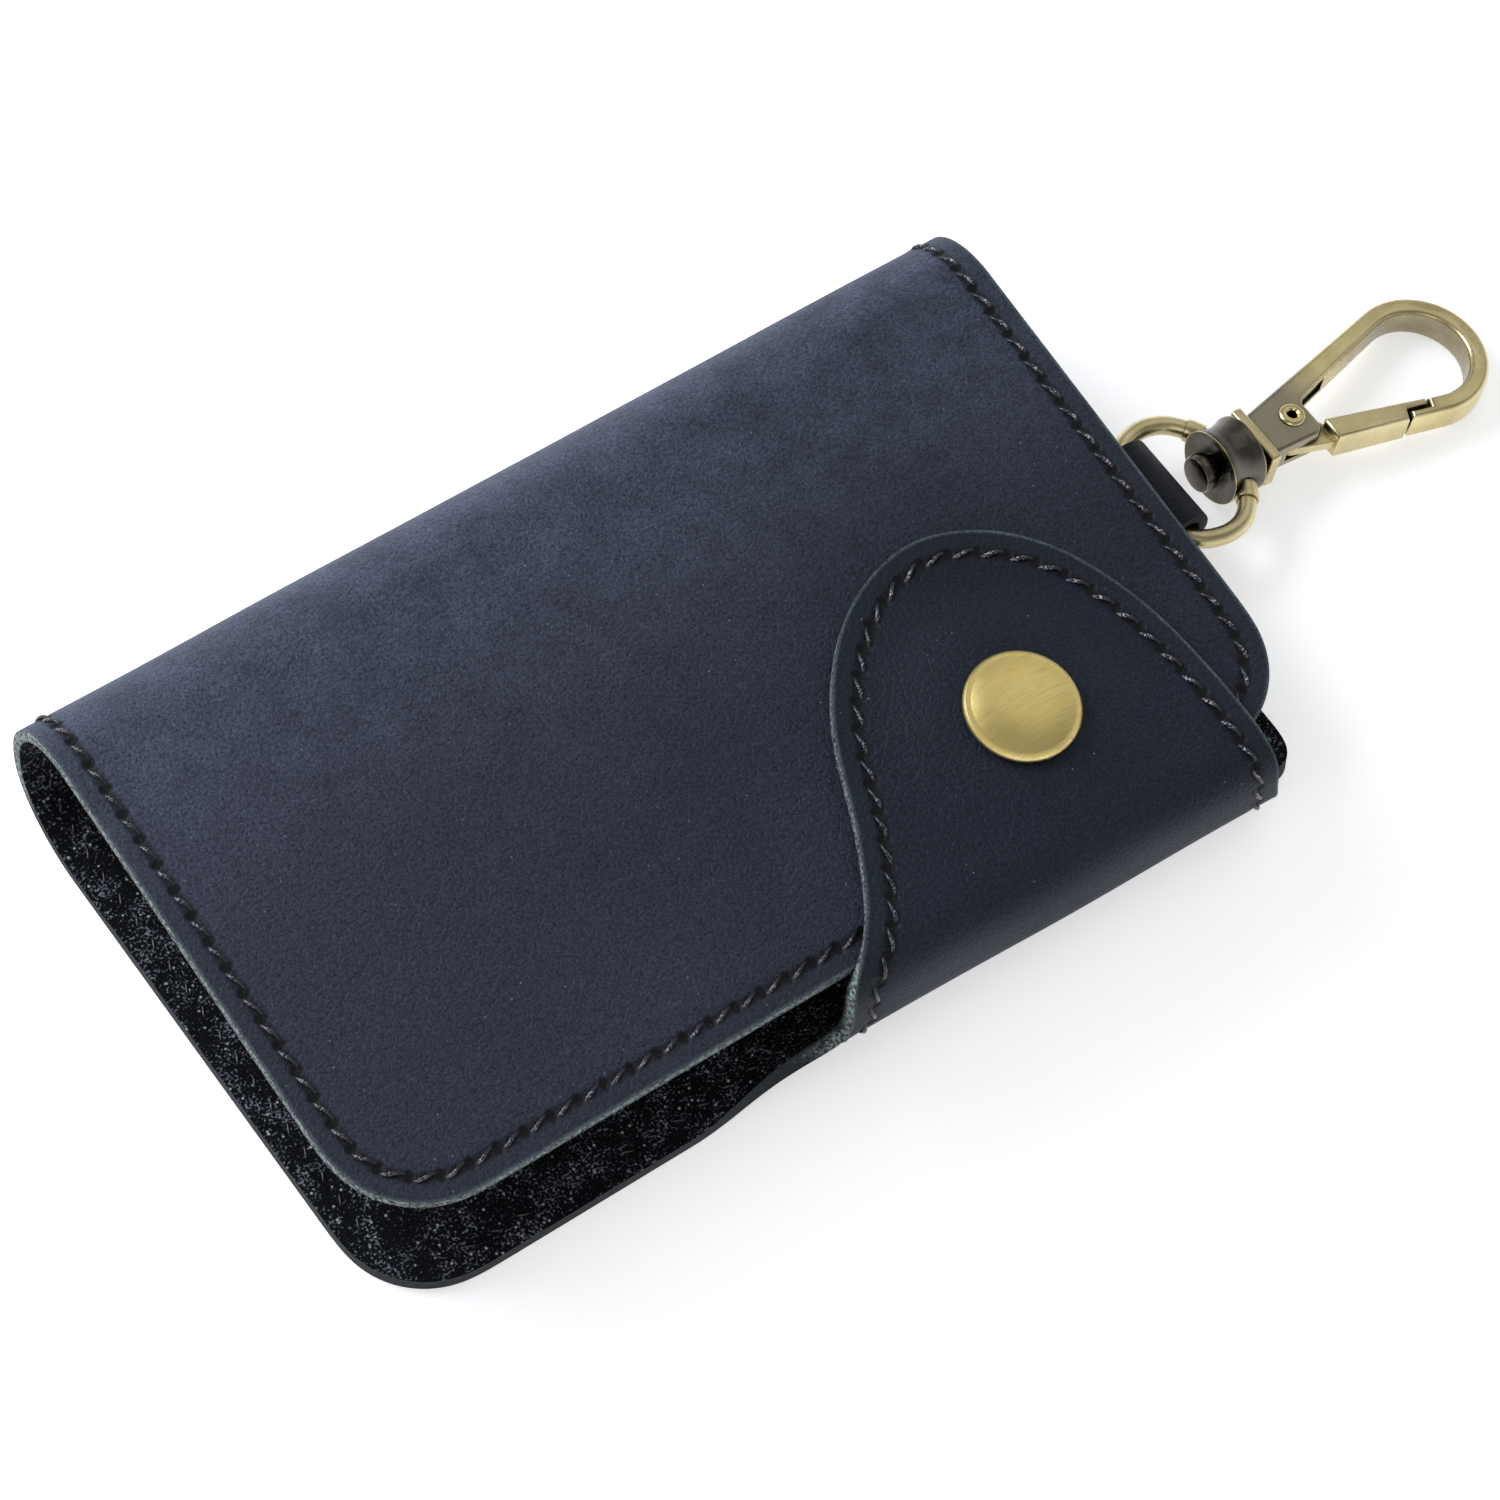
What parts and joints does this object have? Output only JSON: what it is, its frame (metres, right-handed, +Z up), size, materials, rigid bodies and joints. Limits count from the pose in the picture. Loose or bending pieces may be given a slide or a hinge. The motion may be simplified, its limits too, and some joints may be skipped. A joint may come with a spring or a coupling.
{
  "type": "key pouch",
  "caption": "Folded leather key pouch with a row of key hooks inside, a snap tab that closes it, and a swivel snap hook on a leather loop.",
  "frame": {"origin": "middle of the back panel's underside, on the surface that the pouch lies on", "axes": "+X along the pouch towards the snap hook, +Y across it towards the spine fold, +Z up through the cover"},
  "size_m": [0.1646, 0.0733, 0.022],
  "materials": {
    "outer_leather": "oiled matte, blue-black",
    "suede": "suede flesh side",
    "strap_leather": "smooth semi-matte black",
    "antique_brass": "brushed antique",
    "dark_brass": "dark antique",
    "plain_brass": "satin",
    "waxed_thread": "waxed, black"
  },
  "bodies": {
    "pouch": {"back_panel": "outer_leather", "strap_loop": "strap_leather", "rail_patch": "suede", "key_rail": "plain_brass", "rail_rod": "plain_brass", "rail_rivet_1": "plain_brass", "rail_rivet_2": "plain_brass"},
    "cover": {"front_cover": "outer_leather", "cover_lining": "suede", "snap_stud": "dark_brass", "snap_post": "dark_brass"},
    "tab": {"closure_tab": "outer_leather", "snap_cap": "antique_brass", "snap_socket": "dark_brass"},
    "eye": {"swivel_eye": "antique_brass"},
    "hook": {"snap_hook": "antique_brass", "gate_rivet": "antique_brass", "gate_spring": "dark_brass"},
    "gate": {"hook_gate": "antique_brass"},
    "key_hook_1": {"key_hook_1": "plain_brass"},
    "key_hook_2": {"key_hook_2": "plain_brass"},
    "key_hook_3": {"key_hook_3": "plain_brass"},
    "key_hook_4": {"key_hook_4": "plain_brass"},
    "key_hook_5": {"key_hook_5": "plain_brass"},
    "key_hook_6": {"key_hook_6": "plain_brass"}
  },
  "joints": [
    {"name": "tab_fold", "type": "hinge", "parent": "pouch", "child": "tab", "pos_m": [0, -0.03681, 0.0081], "axis": [0.9996, -0.0281, 0], "range_deg": [0, 180]},
    {"name": "cover_fold", "type": "hinge", "parent": "pouch", "child": "cover", "pos_m": [0, 0.03545, 0.0105], "axis": [-1, 0, 0], "range_deg": [0, 18]},
    {"name": "eye_tilt", "type": "hinge", "parent": "pouch", "child": "eye", "pos_m": [0.0617, -0.0016, 0.00688], "axis": [0, -1, 0], "range_deg": [0, 90]},
    {"name": "hook_swivel", "type": "hinge", "parent": "eye", "child": "hook", "pos_m": [0.07581, -0.0016, 0.00532], "axis": [0.994, 0, -0.1097], "continuous": true},
    {"name": "gate_swing", "type": "hinge", "parent": "hook", "child": "gate", "pos_m": [0.08078, -0.0013, 0.00477], "axis": [0.1097, 0, 0.994], "range_deg": [0, 25], "stiffness_Nm_per_rad": 0.0005, "springref_deg": -17.19},
    {"name": "key_hook_1_swing", "type": "hinge", "parent": "pouch", "child": "key_hook_1", "pos_m": [0.033, -0.018, 0.0051], "axis": [0, 1, 0], "range_deg": [0, 20]},
    {"name": "key_hook_2_swing", "type": "hinge", "parent": "pouch", "child": "key_hook_2", "pos_m": [0.033, -0.0116, 0.0051], "axis": [0, 1, 0], "range_deg": [0, 20]},
    {"name": "key_hook_3_swing", "type": "hinge", "parent": "pouch", "child": "key_hook_3", "pos_m": [0.033, -0.0052, 0.0051], "axis": [0, 1, 0], "range_deg": [0, 20]},
    {"name": "key_hook_4_swing", "type": "hinge", "parent": "pouch", "child": "key_hook_4", "pos_m": [0.033, 0.0012, 0.0051], "axis": [0, 1, 0], "range_deg": [0, 20]},
    {"name": "key_hook_5_swing", "type": "hinge", "parent": "pouch", "child": "key_hook_5", "pos_m": [0.033, 0.0076, 0.0051], "axis": [0, 1, 0], "range_deg": [0, 20]},
    {"name": "key_hook_6_swing", "type": "hinge", "parent": "pouch", "child": "key_hook_6", "pos_m": [0.033, 0.014, 0.0051], "axis": [0, 1, 0], "range_deg": [0, 20]}
  ],
  "couplings": [
    {"joint": "cover_fold", "follows": "tab_fold", "ratio": 0.1}
  ]
}
